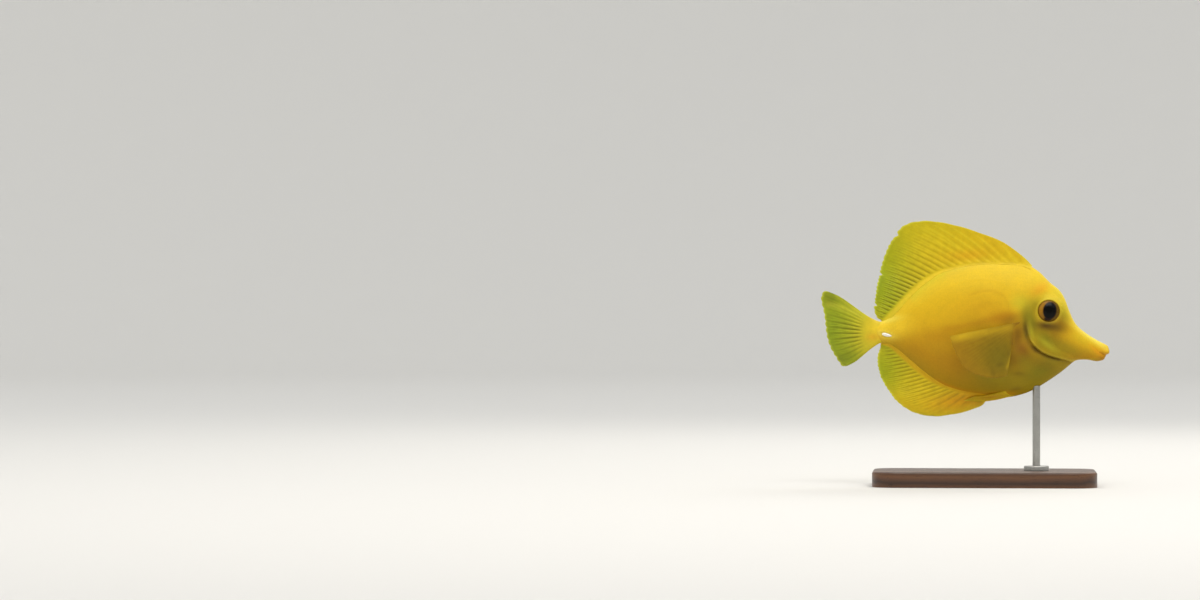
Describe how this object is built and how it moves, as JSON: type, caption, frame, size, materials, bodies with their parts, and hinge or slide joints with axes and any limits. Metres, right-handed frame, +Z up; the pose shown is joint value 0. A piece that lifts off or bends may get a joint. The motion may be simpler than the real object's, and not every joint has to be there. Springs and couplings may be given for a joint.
{
  "type": "yellow tang",
  "caption": "Life-size still model of a disc-shaped yellow reef fish with tall dorsal and anal fins, held level by a steel rod on a flat wooden base.",
  "frame": {"origin": "centre of the underside of the stand's base", "axes": "+X towards the fish's snout, +Z up, -Y towards the fish's right side"},
  "size_m": [0.1499, 0.062, 0.1381],
  "materials": {
    "skin": "lemon to amber yellow painted skin, satin sheen",
    "fin": "thin yellow fin membrane with raised rays, slightly translucent towards the edge",
    "eye": "high gloss eyeball with a golden ring round a black pupil",
    "tail_spine": "white, smooth",
    "stand_wood": "dark walnut, satin",
    "stand_steel": "finely brushed"
  },
  "bodies": {
    "root": {"head": "skin", "lower_jaw": "skin", "trunk": "skin", "tail_stalk": "skin", "dorsal_fin": "fin", "anal_fin": "fin", "tail_fin": "fin", "pectoral_fin_right": "fin", "pectoral_fin_left": "fin", "pelvic_fin_right": "fin", "pelvic_fin_left": "fin", "eye_right": "eye", "eye_left": "eye", "tail_spine_right": "tail_spine", "tail_spine_left": "tail_spine", "stand_base": "stand_wood", "stand_collar": "stand_steel", "stand_rod": "stand_steel"}
  },
  "joints": []
}
